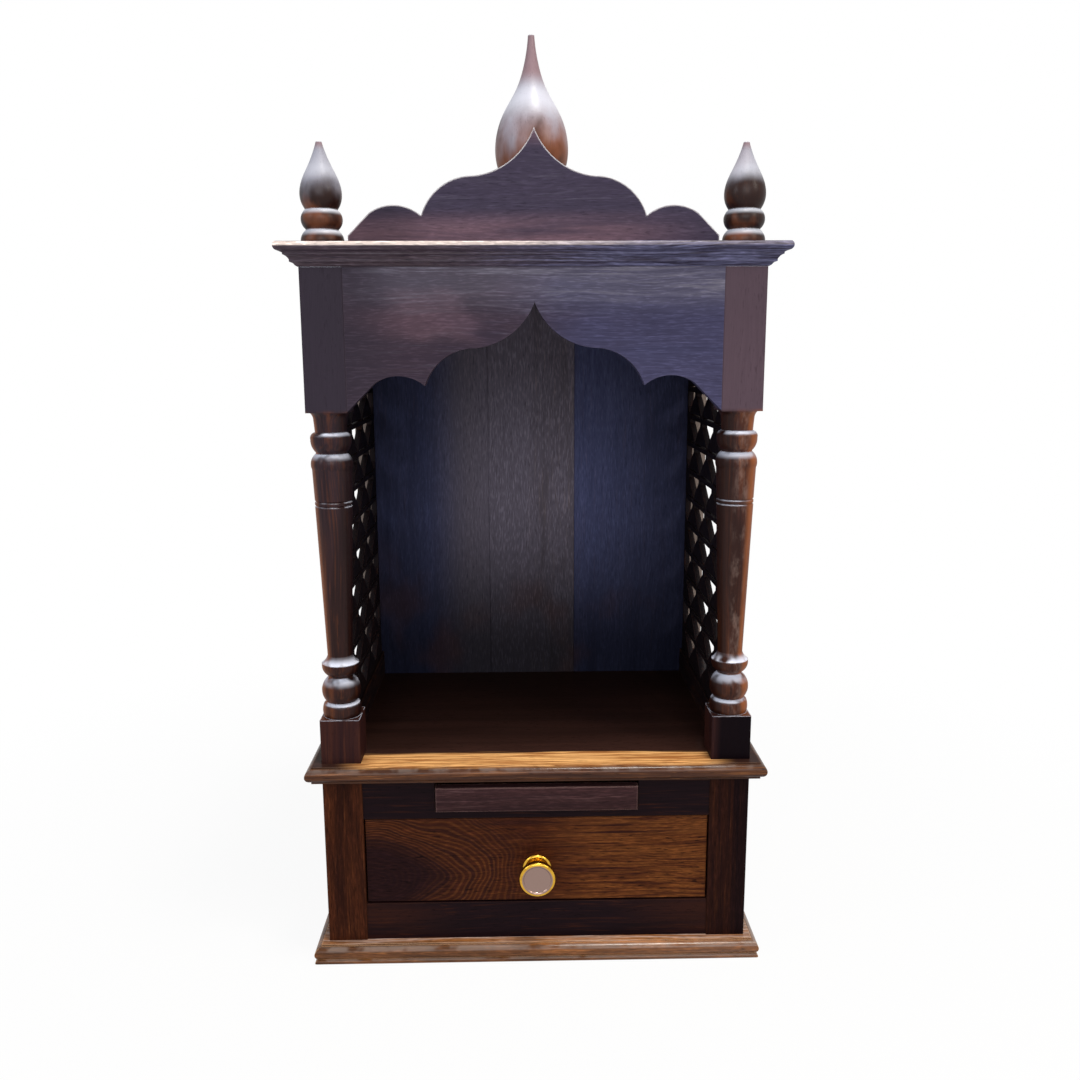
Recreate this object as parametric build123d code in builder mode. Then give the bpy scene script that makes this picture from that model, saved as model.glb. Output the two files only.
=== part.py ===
"""Small wooden home temple: a box with a drawer and a pull-out tray, two turned
columns, pierced side panels, a cusped arch, a moulded cornice, a crest and finials.

Millimetres. +Z is up and the open front faces -Y. The origin is the centre of the
underside of the base board.
"""

import os

from build123d import *

os.makedirs("parts", exist_ok=True)

# Overall sizes
body_width = 350.0      # over the faces of the posts
body_depth = 240.0      # front face of the posts to the back face
post = 32.0             # square posts and column blocks
arris = 0.6             # eased corners of posts and fronts

# Base, lower box and shelf, from the bottom up
base_thickness = 16.0
base_overhang = 11.0
box_height = 144.0
shelf_thickness = 14.0
shelf_overhang = 12.0
box_board = 12.0        # side and back boards of the lower box
box_recess = 4.0        # those boards stand back from the post faces
rail_thickness = 18.0
rail_recess = 1.5
bottom_rail_height = 32.5
top_rail_height = 35.5

# Drawer
drawer_gap = 1.0        # around the drawer front
running_gap = 0.3       # between a slide and what carries it
drawer_recess = 2.5
drawer_clear_behind = 25.5  # behind the closed drawer
drawer_front_thickness = 14.0
drawer_board = 8.0
drawer_side_clear = 16.7    # from the top of the sides up to the drawer opening
drawer_bottom_thickness = 4.0
drawer_bottom_lift = 5.0
runner_width = 13.0
runner_height = 10.0

# Knob
knob_drop = 8.0         # below the middle of the drawer front
knob_diameter = 30.0
knob_length = 21.0
knob_face_diameter = 22.0
knob_stem_diameter = 12.5
rose_diameter = 24.5
rose_thickness = 2.5

# Pull-out tray above the drawer
tray_width = 166.0
tray_clear_behind = 39.5    # behind the closed tray
tray_board_thickness = 6.0
tray_lip_height = 21.0
tray_lip_thickness = 8.0
tray_lip_proud = 5.0
tray_gap = 1.0          # between the lip and its notch
tray_notch_floor = 6.5  # rail left below the notch
tray_inset = 3.0        # board narrower than the lip on each side
guide_width = 14.0

# Columns, from the shelf up
lower_block_height = 37.0
turned_height = 246.5
upper_block_height = 108.0
foot_ring_height = 10.4
foot_ring_diameter = 31.2
foot_slope_height = 2.1     # from the ring in to the ball
ball_height = 20.5
ball_diameter = 31.4
low_neck_diameter = 19.6
cup_height = 11.5
cup_diameter = 29.8
dish_height = 6.5
shaft_foot_diameter = 20.0
shaft_head_diameter = 31.2
shaft_shoulder_height = 13.0
bead_height = 16.0
bead_diameter = 31.8
neck_height = 9.5
neck_diameter = 24.4
block_shoulder_height = 6.0
quirk = 1.0                 # flat at the bottom of the turned grooves
groove_depth = 0.8
groove_width = 1.8
groove_spacing = 3.5
groove_drop = 41.5      # lower scored line below the bead

# Sides and back of the shrine
side_rail_thickness = 21.5
side_rail_height = 24.0
side_head_height = 17.5
jali_thickness = 5.0
jali_setback = 2.5      # from the inner face of the side rails
jali_columns = 6
jali_rows = 13
jali_margin = 4.0
jali_last_share = 0.5   # of half a hole, where the back edge cuts the last column
jali_bar = 9.0          # wood left between two holes of a row
jali_bar_rise = 5.6     # wood left between one row and the next
jali_brow = 3.5         # straight sides under the flat top of a hole
jali_stem = 2.0
jali_hollow = 1.6       # how far its sloping sides bend inward
jali_slit_rise = 4.2    # slit above the flat top
jali_slit = 1.7
back_thickness = 8.0
back_centre_width = 86.0

# Arch: shares of half the opening across, millimetres down from its point
fascia_thickness = 12.0
fascia_recess = 0.6
arch_crown = 26.0       # fascia left above the point
arch_ogee = (0.315, 33.8)
arch_ogee_bend = (0.122, 23.2)
arch_shoulder_bend = (0.49, 42.3)
arch_cusp = (0.585, 61.8)
arch_lobe_bend = (0.727, 54.4)
arch_lobe_end = (0.853, 60.0)

# Cornice, crest and finials
cornice_thickness = 17.0
cornice_overhang = 15.0
crest_thickness = 10.0
crest_setback = 3.0
crest_gap = 5.2         # from the crest to a corner finial
crest_height = 81.5
corner_finial_height = 73.5
corner_finial_diameter = 31.6
centre_finial_height = 175.5
centre_finial_diameter = 62.0
# Buds: shares of the largest radius, at shares of the height
corner_bud = [(0.985, 0.5), (0.835, 0.643), (0.56, 0.765), (0.33, 0.877), (0.14, 1.0)]
centre_bud = [(0.985, 0.5), (0.785, 0.643), (0.4, 0.765), (0.19, 0.877), (0.085, 1.0)]

# Levels
base_top = base_thickness
box_top = base_top + box_height
shelf_top = box_top + shelf_thickness
turned_foot = shelf_top + lower_block_height
turned_head = turned_foot + turned_height
head_height = turned_head + upper_block_height
roof_top = head_height + cornice_thickness

# Faces
half_width = body_width / 2
front = -(body_depth - base_overhang) / 2
back = front + body_depth
post_x = half_width - post / 2
post_y = front + post / 2
between_posts = half_width - post
crest_half_width = post_x - corner_finial_diameter / 2 - crest_gap
back_face = back - back_thickness


def footprint(left, right, near, far, level, ease=0.0):
    """Rectangle between four upright faces, on one level, with eased corners."""
    with BuildSketch(Plane.XY.offset(level)) as outline:
        with Locations(((left + right) / 2, (near + far) / 2)):
            Rectangle(right - left, far - near)
        if ease > 0:
            chamfer(outline.vertices(), ease)
    return outline.sketch


def edge_line(edge, place):
    """Draw a moulding's edge: two points make a line, three make an arc."""
    for run in edge:
        if len(run) == 2:
            Line(place(run[0]), place(run[1]))
        else:
            ThreePointArc(place(run[0]), place(run[1]), place(run[2]))


def board_front_view(edge, level):
    """Moulded board seen from the front, with the edge on both ends."""
    (low, top) = (edge[0][0], edge[-1][-1])
    with BuildSketch(Plane.XZ.offset(body_depth)) as outline:
        with BuildLine():
            edge_line(edge, lambda p: (half_width + p[0], level + p[1]))
            edge_line(edge, lambda p: (-half_width - p[0], level + p[1]))
            Line((-half_width - low[0], level + low[1]), (half_width + low[0], level + low[1]))
            Line((-half_width - top[0], level + top[1]), (half_width + top[0], level + top[1]))
        make_face()
    return outline.sketch


def board_side_view(edge, level):
    """The same board seen from the side, with the edge in front only."""
    (low, top) = (edge[0][0], edge[-1][-1])
    with BuildSketch(Plane.YZ.offset(-body_width)) as outline:
        with BuildLine():
            edge_line(edge, lambda p: (front - p[0], level + p[1]))
            Polyline(
                (front - low[0], level + low[1]),
                (back, level + low[1]),
                (back, level + top[1]),
                (front - top[0], level + top[1]),
            )
        make_face()
    return outline.sketch


def torus_edge(overhang, thickness):
    """Base moulding: a flat bead, a groove, a torus and a quirk under the top."""
    bead = thickness * 0.24
    groove = thickness * 0.275
    torus = thickness * 0.89
    torus_in = overhang - thickness * 0.29
    return [
        ((overhang - 1.6, 0), (overhang - 0.3, bead / 2), (overhang - 1.6, bead)),
        ((overhang - 1.6, bead), (overhang - 2.6, groove)),
        ((overhang - 2.6, groove), (overhang, groove + (torus - groove) * 0.43), (torus_in, torus)),
        ((torus_in, torus), (torus_in - 0.8, torus)),
        ((torus_in - 0.8, torus), (torus_in - 0.8, thickness)),
    ]


def shelf_edge(overhang, thickness):
    """Shelf moulding: a small foot, a half round and a quirk under the top."""
    foot = thickness * 0.12
    top = thickness * 0.9
    out = overhang - thickness * 0.33
    return [
        ((out, 0), (out, foot)),
        ((out, foot), (overhang, foot + (top - foot) * 0.56), (out + 0.8, top)),
        ((out + 0.8, top), (out - 0.2, top)),
        ((out - 0.2, top), (out - 0.2, thickness)),
    ]


def cornice_edge(overhang, thickness):
    """Cornice moulding: two coves with fillets between them and a rounded lip."""
    foot_out = overhang * 0.14
    cove_out = overhang * 0.36
    slope_out = overhang * 0.62
    lip_in = overhang - 1.6
    foot_top = thickness * 0.05
    cove_top = thickness * 0.18
    fillet_top = thickness * 0.26
    slope_top = thickness * 0.47
    quirk_top = thickness * 0.53
    lip_foot = thickness * 0.64
    return [
        ((overhang * 0.05, 0), (foot_out, foot_top)),
        ((foot_out, foot_top), (overhang * 0.22, thickness * 0.135), (cove_out, cove_top)),
        ((cove_out, cove_top), (cove_out, fillet_top)),
        ((cove_out, fillet_top), (overhang * 0.46, thickness * 0.39), (slope_out, slope_top)),
        ((slope_out, slope_top), (slope_out, quirk_top)),
        ((slope_out, quirk_top), (overhang * 0.73, thickness * 0.61), (lip_in, lip_foot)),
        ((lip_in, lip_foot), (overhang, (lip_foot + thickness) / 2), (lip_in, thickness)),
    ]


def cusped_line(place, end_width):
    """Draw half of the cusped outline, from its point to end_width."""

    def at(share):
        return place((share[0] * between_posts, share[1]))

    lobe_end = (arch_lobe_end[0] * between_posts, arch_lobe_end[1])
    end = (end_width, lobe_end[1] + end_width - lobe_end[0])
    ThreePointArc(place((0, 0)), at(arch_ogee_bend), at(arch_ogee))
    ThreePointArc(at(arch_ogee), at(arch_shoulder_bend), at(arch_cusp))
    ThreePointArc(at(arch_cusp), at(arch_lobe_bend), place(lobe_end))
    Line(place(lobe_end), place(end))
    return place(end)


def finial_profile(plane, height, diameter, bud):
    """Half section of a finial: base ring, bead and a bud given in shares."""
    radius = diameter / 2
    with BuildSketch(plane) as section:
        with BuildLine():
            Line((0, 0), (radius, 0))
            ThreePointArc(
                (radius, 0), (radius * 0.99, height * 0.075), (radius * 0.78, height * 0.14)
            )
            Line((radius * 0.78, height * 0.14), (radius * 0.76, height * 0.15))
            ThreePointArc(
                (radius * 0.76, height * 0.15),
                (radius * 0.98, height * 0.245),
                (radius * 0.78, height * 0.34),
            )
            Line((radius * 0.78, height * 0.34), (radius * 0.77, height * 0.35))
            Spline(
                (radius * 0.77, height * 0.35),
                *[(radius * across, height * up) for (across, up) in bud],
            )
            Polyline((radius * bud[-1][0], height), (0, height), (0, 0))
        make_face()
    return section.sketch


def column_profile(plane):
    """Half section of the turned length of a column, from the lower block up."""
    foot = foot_ring_height
    ball_foot = foot + foot_slope_height
    ball = ball_foot + ball_height
    cup = ball + cup_height
    flare = cup + dish_height
    neck_foot = turned_height - block_shoulder_height - neck_height
    bead_foot = neck_foot - bead_height
    shoulder = bead_foot - shaft_shoulder_height
    foot_r = foot_ring_diameter / 2
    ball_r = ball_diameter / 2
    low_r = low_neck_diameter / 2
    cup_r = cup_diameter / 2
    shaft_r = shaft_foot_diameter / 2
    head_r = shaft_head_diameter / 2
    bead_r = bead_diameter / 2
    neck_r = neck_diameter / 2
    cup_foot = ball + quirk
    cup_lip = cup - quirk
    score = bead_foot - groove_drop
    score_r = head_r - (head_r - shaft_r) * (shoulder - score) / (shoulder - flare)
    with BuildSketch(plane) as section:
        with BuildLine():
            Line((0, 0), (foot_r * 0.95, 0))
            ThreePointArc((foot_r * 0.95, 0), (foot_r, foot * 0.45), (foot_r * 0.93, foot))
            Line((foot_r * 0.93, foot), (ball_r * 0.78, ball_foot))
            ThreePointArc(
                (ball_r * 0.78, ball_foot), (ball_r, ball_foot + ball_height * 0.47), (low_r, ball)
            )
            Line((low_r, ball), (low_r, cup_foot))
            ThreePointArc(
                (low_r, cup_foot),
                (low_r + (cup_r - low_r) * 0.74, cup_foot + (cup_lip - cup_foot) * 0.37),
                (cup_r, cup_lip),
            )
            Line((cup_r, cup_lip), (cup_r, cup))
            ThreePointArc(
                (cup_r, cup),
                (shaft_r + (cup_r - shaft_r) * 0.38, cup + dish_height * 0.42),
                (shaft_r, flare),
            )
            Line((shaft_r, flare), (score_r, score - groove_width / 2))
            Polyline(
                (score_r, score - groove_width / 2),
                (score_r - groove_depth, score),
                (score_r, score + groove_width / 2),
                (score_r, score + groove_spacing - groove_width / 2),
                (score_r - groove_depth, score + groove_spacing),
                (score_r, score + groove_spacing + groove_width / 2),
            )
            Line((score_r, score + groove_spacing + groove_width / 2), (head_r, shoulder))
            ThreePointArc(
                (head_r, shoulder),
                (head_r * 0.96, shoulder + shaft_shoulder_height * 0.72),
                (neck_r, bead_foot - quirk / 2),
            )
            Line((neck_r, bead_foot - quirk / 2), (neck_r, bead_foot + quirk / 2))
            ThreePointArc(
                (neck_r, bead_foot + quirk / 2),
                (neck_r + (bead_r - neck_r) * 0.76, bead_foot + bead_height * 0.3),
                (bead_r, bead_foot + bead_height * 0.66),
            )
            ThreePointArc(
                (bead_r, bead_foot + bead_height * 0.66),
                (neck_r + (bead_r - neck_r) * 0.72, bead_foot + bead_height * 0.91),
                (neck_r, neck_foot),
            )
            shoulder_foot = neck_foot + neck_height
            shoulder_r = neck_r + 0.8
            Line((neck_r, neck_foot), (shoulder_r, shoulder_foot))
            ThreePointArc(
                (shoulder_r, shoulder_foot),
                (shoulder_r + (post / 2 - shoulder_r) * 0.3, turned_height - block_shoulder_height * 0.4),
                (post / 2, turned_height),
            )
            Polyline((post / 2, turned_height), (0, turned_height), (0, 0))
        make_face()
    return section.sketch


# Base board
with BuildPart() as base_board:
    edge = torus_edge(base_overhang, base_thickness)
    extrude(board_front_view(edge, 0), amount=2 * body_depth, dir=(0, 1, 0))
    extrude(
        board_side_view(edge, 0), amount=2 * body_width, dir=(1, 0, 0), mode=Mode.INTERSECT
    )

# Lower box: corner posts, boards between them and two rails in front
with BuildPart() as box_post_front_left:
    extrude(footprint(-half_width, -between_posts, front, front + post, base_top, arris), amount=box_height)

with BuildPart() as box_post_front_right:
    mirror(box_post_front_left.part, about=Plane.YZ)

with BuildPart() as box_post_back_left:
    extrude(footprint(-half_width, -between_posts, back - post, back, base_top, arris), amount=box_height)

with BuildPart() as box_post_back_right:
    mirror(box_post_back_left.part, about=Plane.YZ)

with BuildPart() as box_side_left:
    side_face = -half_width + box_recess
    extrude(
        footprint(side_face, side_face + box_board, front + post, back - post, base_top),
        amount=box_height,
    )

with BuildPart() as box_side_right:
    mirror(box_side_left.part, about=Plane.YZ)

box_back_inner = back - box_recess - box_board
with BuildPart() as box_back:
    extrude(
        footprint(-between_posts, between_posts, box_back_inner, back - box_recess, base_top),
        amount=box_height,
    )

rail_front = front + rail_recess
rail_back = rail_front + rail_thickness
with BuildPart() as drawer_rail_bottom:
    extrude(
        footprint(-between_posts, between_posts, rail_front, rail_back, base_top),
        amount=bottom_rail_height,
    )

drawer_floor = base_top + bottom_rail_height
drawer_head = box_top - top_rail_height
notch_floor = drawer_head + tray_notch_floor
notch_half = tray_width / 2 + tray_gap
with BuildPart() as drawer_rail_top:
    with BuildSketch(Plane.XZ.offset(-rail_front)):
        with BuildLine():
            Polyline(
                (-between_posts, drawer_head),
                (between_posts, drawer_head),
                (between_posts, box_top),
                (notch_half, box_top),
                (notch_half, notch_floor),
                (-notch_half, notch_floor),
                (-notch_half, box_top),
                (-between_posts, box_top),
                close=True,
            )
        make_face()
    extrude(amount=-rail_thickness)

with BuildPart() as drawer_runner_left:
    extrude(
        footprint(
            -between_posts, -between_posts + runner_width, rail_back, box_back_inner,
            drawer_floor - runner_height,
        ),
        amount=runner_height,
    )

with BuildPart() as drawer_runner_right:
    mirror(drawer_runner_left.part, about=Plane.YZ)

tray_lip_foot = notch_floor + tray_gap
tray_board_foot = tray_lip_foot + 2 * tray_gap
guide_top = tray_board_foot - running_gap
guide_outer = tray_width / 2
with BuildPart() as tray_guide_left:
    extrude(
        footprint(-guide_outer, -guide_outer + guide_width, rail_back, box_back_inner, drawer_head),
        amount=guide_top - drawer_head,
    )

with BuildPart() as tray_guide_right:
    mirror(tray_guide_left.part, about=Plane.YZ)

# Drawer
drawer_half = between_posts - drawer_gap
drawer_near = front + drawer_recess
drawer_far = box_back_inner - drawer_clear_behind
drawer_inner = drawer_near + drawer_front_thickness
drawer_side_foot = drawer_floor + running_gap
with BuildPart() as drawer_front:
    extrude(
        footprint(-drawer_half, drawer_half, drawer_near, drawer_inner, drawer_floor + drawer_gap),
        amount=drawer_head - drawer_floor - 2 * drawer_gap,
    )
    chamfer(drawer_front.faces().sort_by(Axis.Y)[0].edges(), arris)

drawer_side_height = drawer_head - drawer_side_foot - drawer_side_clear
with BuildPart() as drawer_side_left:
    extrude(
        footprint(-drawer_half, -drawer_half + drawer_board, drawer_inner, drawer_far, drawer_side_foot),
        amount=drawer_side_height,
    )

with BuildPart() as drawer_side_right:
    mirror(drawer_side_left.part, about=Plane.YZ)

drawer_clear = drawer_half - drawer_board
with BuildPart() as drawer_back:
    extrude(
        footprint(-drawer_clear, drawer_clear, drawer_far - drawer_board, drawer_far, drawer_side_foot),
        amount=drawer_side_height,
    )

with BuildPart() as drawer_bottom:
    extrude(
        footprint(
            -drawer_clear, drawer_clear, drawer_inner, drawer_far - drawer_board,
            drawer_side_foot + drawer_bottom_lift,
        ),
        amount=drawer_bottom_thickness,
    )

# Brass knob: sections are drawn on the drawer's face, turned about its axis
knob_height = (drawer_floor + drawer_head) / 2 - knob_drop
knob_plane = Plane(origin=(0, drawer_near, knob_height), x_dir=(1, 0, 0), z_dir=(0, 0, 1))
knob_axis = Axis((0, drawer_near, knob_height), (0, -1, 0))
with BuildPart() as knob_rose:
    with BuildSketch(knob_plane):
        with BuildLine():
            Polyline(
                (rose_diameter / 2, -rose_thickness * 0.4),
                (rose_diameter / 2, 0),
                (0, 0),
                (0, -rose_thickness),
                (rose_diameter * 0.38, -rose_thickness),
            )
            ThreePointArc(
                (rose_diameter * 0.38, -rose_thickness),
                (rose_diameter * 0.46, -rose_thickness * 0.85),
                (rose_diameter / 2, -rose_thickness * 0.4),
            )
        make_face()
    revolve(axis=knob_axis)

with BuildPart() as knob:
    rim = knob_diameter / 2
    stem = knob_stem_diameter / 2
    face = knob_face_diameter / 2
    with BuildSketch(knob_plane):
        with BuildLine():
            Line((0, -rose_thickness), (stem * 1.15, -rose_thickness))
            ThreePointArc(
                (stem * 1.15, -rose_thickness),
                (stem * 0.85, -knob_length * 0.3),
                (stem, -knob_length * 0.5),
            )
            ThreePointArc(
                (stem, -knob_length * 0.5),
                (rim * 0.72, -knob_length * 0.62),
                (rim, -knob_length * 0.78),
            )
            Line((rim, -knob_length * 0.78), (rim, -knob_length * 0.88))
            ThreePointArc(
                (rim, -knob_length * 0.88),
                ((rim + face) / 2, -knob_length),
                (face, -knob_length * 0.95),
            )
            Polyline((face, -knob_length * 0.95), (0, -knob_length * 0.95), (0, -rose_thickness))
        make_face()
    revolve(axis=knob_axis)

# Tray
tray_near = rail_front - tray_lip_proud
tray_lip_back = tray_near + tray_lip_thickness
with BuildPart() as tray_front:
    extrude(
        footprint(-tray_width / 2, tray_width / 2, tray_near, tray_lip_back, tray_lip_foot),
        amount=tray_lip_height,
    )
    chamfer(tray_front.faces().sort_by(Axis.Y)[0].edges(), arris)

with BuildPart() as tray_board:
    tray_half = tray_width / 2 - tray_inset
    extrude(
        footprint(
            -tray_half, tray_half, tray_lip_back, box_back_inner - tray_clear_behind, tray_board_foot
        ),
        amount=tray_board_thickness,
    )

# Shelf, the floor of the shrine
with BuildPart() as shelf_board:
    edge = shelf_edge(shelf_overhang, shelf_thickness)
    extrude(board_front_view(edge, box_top), amount=2 * body_depth, dir=(0, 1, 0))
    extrude(
        board_side_view(edge, box_top), amount=2 * body_width, dir=(1, 0, 0), mode=Mode.INTERSECT
    )

# Columns: square blocks left at both ends of a turned post
column_plane = Plane(origin=(-post_x, post_y, turned_foot), x_dir=(1, 0, 0), z_dir=(0, -1, 0))
with BuildPart() as column_front_left:
    extrude(
        footprint(-half_width, -between_posts, front, front + post, shelf_top, arris),
        amount=lower_block_height,
    )
    revolve(column_profile(column_plane), axis=Axis((-post_x, post_y, 0), (0, 0, 1)))
    extrude(
        footprint(-half_width, -between_posts, front, front + post, turned_head, arris),
        amount=upper_block_height,
    )

with BuildPart() as column_front_right:
    mirror(column_front_left.part, about=Plane.YZ)

# Sides: a rail above the shelf, a rail under the cornice and a pierced panel
side_inner = half_width - side_rail_thickness
side_near = front + post
with BuildPart() as side_rail_bottom_left:
    extrude(
        footprint(-half_width, -side_inner, side_near, back_face, shelf_top),
        amount=side_rail_height,
    )

with BuildPart() as side_rail_bottom_right:
    mirror(side_rail_bottom_left.part, about=Plane.YZ)

with BuildPart() as side_rail_top_left:
    extrude(
        footprint(-half_width, -side_inner, side_near, back_face, head_height - side_head_height),
        amount=side_head_height,
    )

with BuildPart() as side_rail_top_right:
    mirror(side_rail_top_left.part, about=Plane.YZ)

jali_foot = shelf_top + side_rail_height
jali_head = head_height - side_head_height
jali_outer = side_inner + jali_setback + jali_thickness
jali_pitch = (
    back_face - side_near - jali_margin + (1 + jali_last_share) * jali_bar / 2
) / (jali_columns + jali_last_share)
jali_rise = (jali_head - jali_foot - 2 * jali_margin + jali_bar_rise) / jali_rows
hole_width = 2 * jali_pitch - jali_bar
hole_height = jali_rise - jali_bar_rise
hole_places = [
    (
        side_near + jali_margin + hole_width / 2 + column * jali_pitch,
        jali_foot + jali_margin + hole_height + row * jali_rise,
    )
    for row in range(jali_rows)
    for column in range(jali_columns)
    if (row + column) % 2 == 0
]
slit_places = [
    (across, up + jali_slit_rise + jali_slit / 2)
    for (across, up) in hole_places
    if up < jali_head - jali_margin - hole_height
]
with BuildSketch() as jali_hole:
    with BuildLine():
        wide = hole_width / 2
        thin = jali_stem / 2
        bend = ((wide + thin) / 2 - jali_hollow, -(jali_brow + hole_height) / 2)
        Line((-wide, 0), (wide, 0))
        Line((wide, 0), (wide, -jali_brow))
        ThreePointArc((wide, -jali_brow), bend, (thin, -hole_height))
        Line((thin, -hole_height), (-thin, -hole_height))
        ThreePointArc((-thin, -hole_height), (-bend[0], bend[1]), (-wide, -jali_brow))
        Line((-wide, -jali_brow), (-wide, 0))
    make_face()

with BuildPart() as jali_panel_left:
    with BuildSketch(Plane.YZ.offset(-jali_outer)):
        with Locations(((side_near + back_face) / 2, (jali_foot + jali_head) / 2)):
            Rectangle(back_face - side_near, jali_head - jali_foot)
        with Locations(*hole_places):
            add(jali_hole.sketch, mode=Mode.SUBTRACT)
        with Locations(*slit_places):
            Rectangle(hole_width, jali_slit, mode=Mode.SUBTRACT)
        with Locations((back_face - jali_margin / 2, (jali_foot + jali_head) / 2)):
            Rectangle(jali_margin, jali_head - jali_foot)
    extrude(amount=jali_thickness)

with BuildPart() as jali_panel_right:
    mirror(jali_panel_left.part, about=Plane.YZ)

# Back: three upright boards
back_half = back_centre_width / 2
with BuildPart() as back_board_left:
    extrude(
        footprint(-half_width, -back_half, back_face, back, shelf_top, arris),
        amount=head_height - shelf_top,
    )

with BuildPart() as back_board_centre:
    extrude(
        footprint(-back_half, back_half, back_face, back, shelf_top, arris),
        amount=head_height - shelf_top,
    )

with BuildPart() as back_board_right:
    mirror(back_board_left.part, about=Plane.YZ)

# Arch between the upper blocks
arch_point = head_height - arch_crown
with BuildPart() as arch_fascia:
    with BuildSketch(Plane.XZ.offset(-front - fascia_recess)):
        with BuildLine():
            end = cusped_line(lambda p: (p[0], arch_point - p[1]), between_posts)
            cusped_line(lambda p: (-p[0], arch_point - p[1]), between_posts)
            Polyline(
                end,
                (between_posts, head_height),
                (-between_posts, head_height),
                (-end[0], end[1]),
            )
        make_face()
    extrude(amount=-fascia_thickness)

# Cornice
with BuildPart() as cornice_board:
    edge = cornice_edge(cornice_overhang, cornice_thickness)
    extrude(board_front_view(edge, head_height), amount=2 * body_depth, dir=(0, 1, 0))
    extrude(
        board_side_view(edge, head_height), amount=2 * body_width, dir=(1, 0, 0), mode=Mode.INTERSECT
    )

# Crest on the roof, with the outline that was cut from the arch
crest_point = roof_top + crest_height
with BuildPart() as crest_board:
    with BuildSketch(Plane.XZ.offset(-front - crest_setback)):
        with BuildLine():
            end = cusped_line(lambda p: (p[0], crest_point - p[1]), crest_half_width)
            cusped_line(lambda p: (-p[0], crest_point - p[1]), crest_half_width)
            Polyline(
                end,
                (crest_half_width, roof_top),
                (-crest_half_width, roof_top),
                (-end[0], end[1]),
            )
        make_face()
    extrude(amount=-crest_thickness)

# Finials
with BuildPart() as finial_front_left:
    stand = Plane(origin=(-post_x, post_y, roof_top), x_dir=(1, 0, 0), z_dir=(0, -1, 0))
    revolve(
        finial_profile(stand, corner_finial_height, corner_finial_diameter, corner_bud),
        axis=Axis((-post_x, post_y, 0), (0, 0, 1)),
    )

with BuildPart() as finial_front_right:
    mirror(finial_front_left.part, about=Plane.YZ)

with BuildPart() as finial_centre:
    centre_y = front + (body_depth - back_thickness) / 2
    stand = Plane(origin=(0, centre_y, roof_top), x_dir=(1, 0, 0), z_dir=(0, -1, 0))
    revolve(
        finial_profile(stand, centre_finial_height, centre_finial_diameter, centre_bud),
        axis=Axis((0, centre_y, 0), (0, 0, 1)),
    )

pieces = {
    "base_board": base_board,
    "box_post_front_left": box_post_front_left,
    "box_post_front_right": box_post_front_right,
    "box_post_back_left": box_post_back_left,
    "box_post_back_right": box_post_back_right,
    "box_side_left": box_side_left,
    "box_side_right": box_side_right,
    "box_back": box_back,
    "drawer_rail_bottom": drawer_rail_bottom,
    "drawer_rail_top": drawer_rail_top,
    "drawer_runner_left": drawer_runner_left,
    "drawer_runner_right": drawer_runner_right,
    "tray_guide_left": tray_guide_left,
    "tray_guide_right": tray_guide_right,
    "drawer_front": drawer_front,
    "drawer_side_left": drawer_side_left,
    "drawer_side_right": drawer_side_right,
    "drawer_back": drawer_back,
    "drawer_bottom": drawer_bottom,
    "knob_rose": knob_rose,
    "knob": knob,
    "tray_front": tray_front,
    "tray_board": tray_board,
    "shelf_board": shelf_board,
    "column_front_left": column_front_left,
    "column_front_right": column_front_right,
    "side_rail_bottom_left": side_rail_bottom_left,
    "side_rail_bottom_right": side_rail_bottom_right,
    "side_rail_top_left": side_rail_top_left,
    "side_rail_top_right": side_rail_top_right,
    "jali_panel_left": jali_panel_left,
    "jali_panel_right": jali_panel_right,
    "back_board_left": back_board_left,
    "back_board_centre": back_board_centre,
    "back_board_right": back_board_right,
    "arch_fascia": arch_fascia,
    "cornice_board": cornice_board,
    "crest_board": crest_board,
    "finial_front_left": finial_front_left,
    "finial_front_right": finial_front_right,
    "finial_centre": finial_centre,
}
for name, piece in pieces.items():
    piece.part.label = name
    export_step(piece.part, f"parts/{name}.step")
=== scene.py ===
"""Looks for a small wooden home temple: stained and lacquered wood, a brass knob,
and a plain pale stage."""

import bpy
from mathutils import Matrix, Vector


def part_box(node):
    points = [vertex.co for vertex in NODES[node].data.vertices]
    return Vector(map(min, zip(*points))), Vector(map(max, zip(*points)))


bl_info = {
    "name": "Home temple finish",
    "version": (1, 0, 0),
    "blender": (4, 5, 0),
    "location": "View3D > Sidebar > Temple",
    "description": "Wood and brass finishes for a carved home temple",
    "category": "Object",
}

import math

import bmesh
import bpy
from mathutils import Matrix, Vector

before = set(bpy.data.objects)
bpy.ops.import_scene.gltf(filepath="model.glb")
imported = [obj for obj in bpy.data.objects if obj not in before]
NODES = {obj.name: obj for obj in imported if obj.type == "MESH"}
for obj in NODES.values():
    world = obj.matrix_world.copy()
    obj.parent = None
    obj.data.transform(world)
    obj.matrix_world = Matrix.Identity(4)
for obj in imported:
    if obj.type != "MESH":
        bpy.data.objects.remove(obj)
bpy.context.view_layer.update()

X, Y, Z = 0, 1, 2
MM = 0.001

# Patterns of the grain: how many to the metre across it, and along it
DRIFT = (22, 7)
BANDS = (70, 3.0)
LINES = (520, 14)
FIBRE = (1500, 45)
SPECKS = (950, 130)

# How far the slow waves carry the grain, in metres, how fast the growth rings follow each
# other, how much the bands sway them, and the angle of the pith to the board
DRIFT_REACH = 0.012
RING_RATE = 900
RING_SWAY = 9
PITH_TILT = 0.07

# Levels of noise at which a mark of the grain starts, and at which it is full
MIDDLE = 0.5
PALE_LINE = (0.54, 0.74)
DARK_LINE = (0.47, 0.28)
RING = (0.1, 1.0)
PORE = (0.6, 0.72)
PORE_BAND = (0.3, 0.6)
FLECK = (0.5, 0.3)

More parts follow.
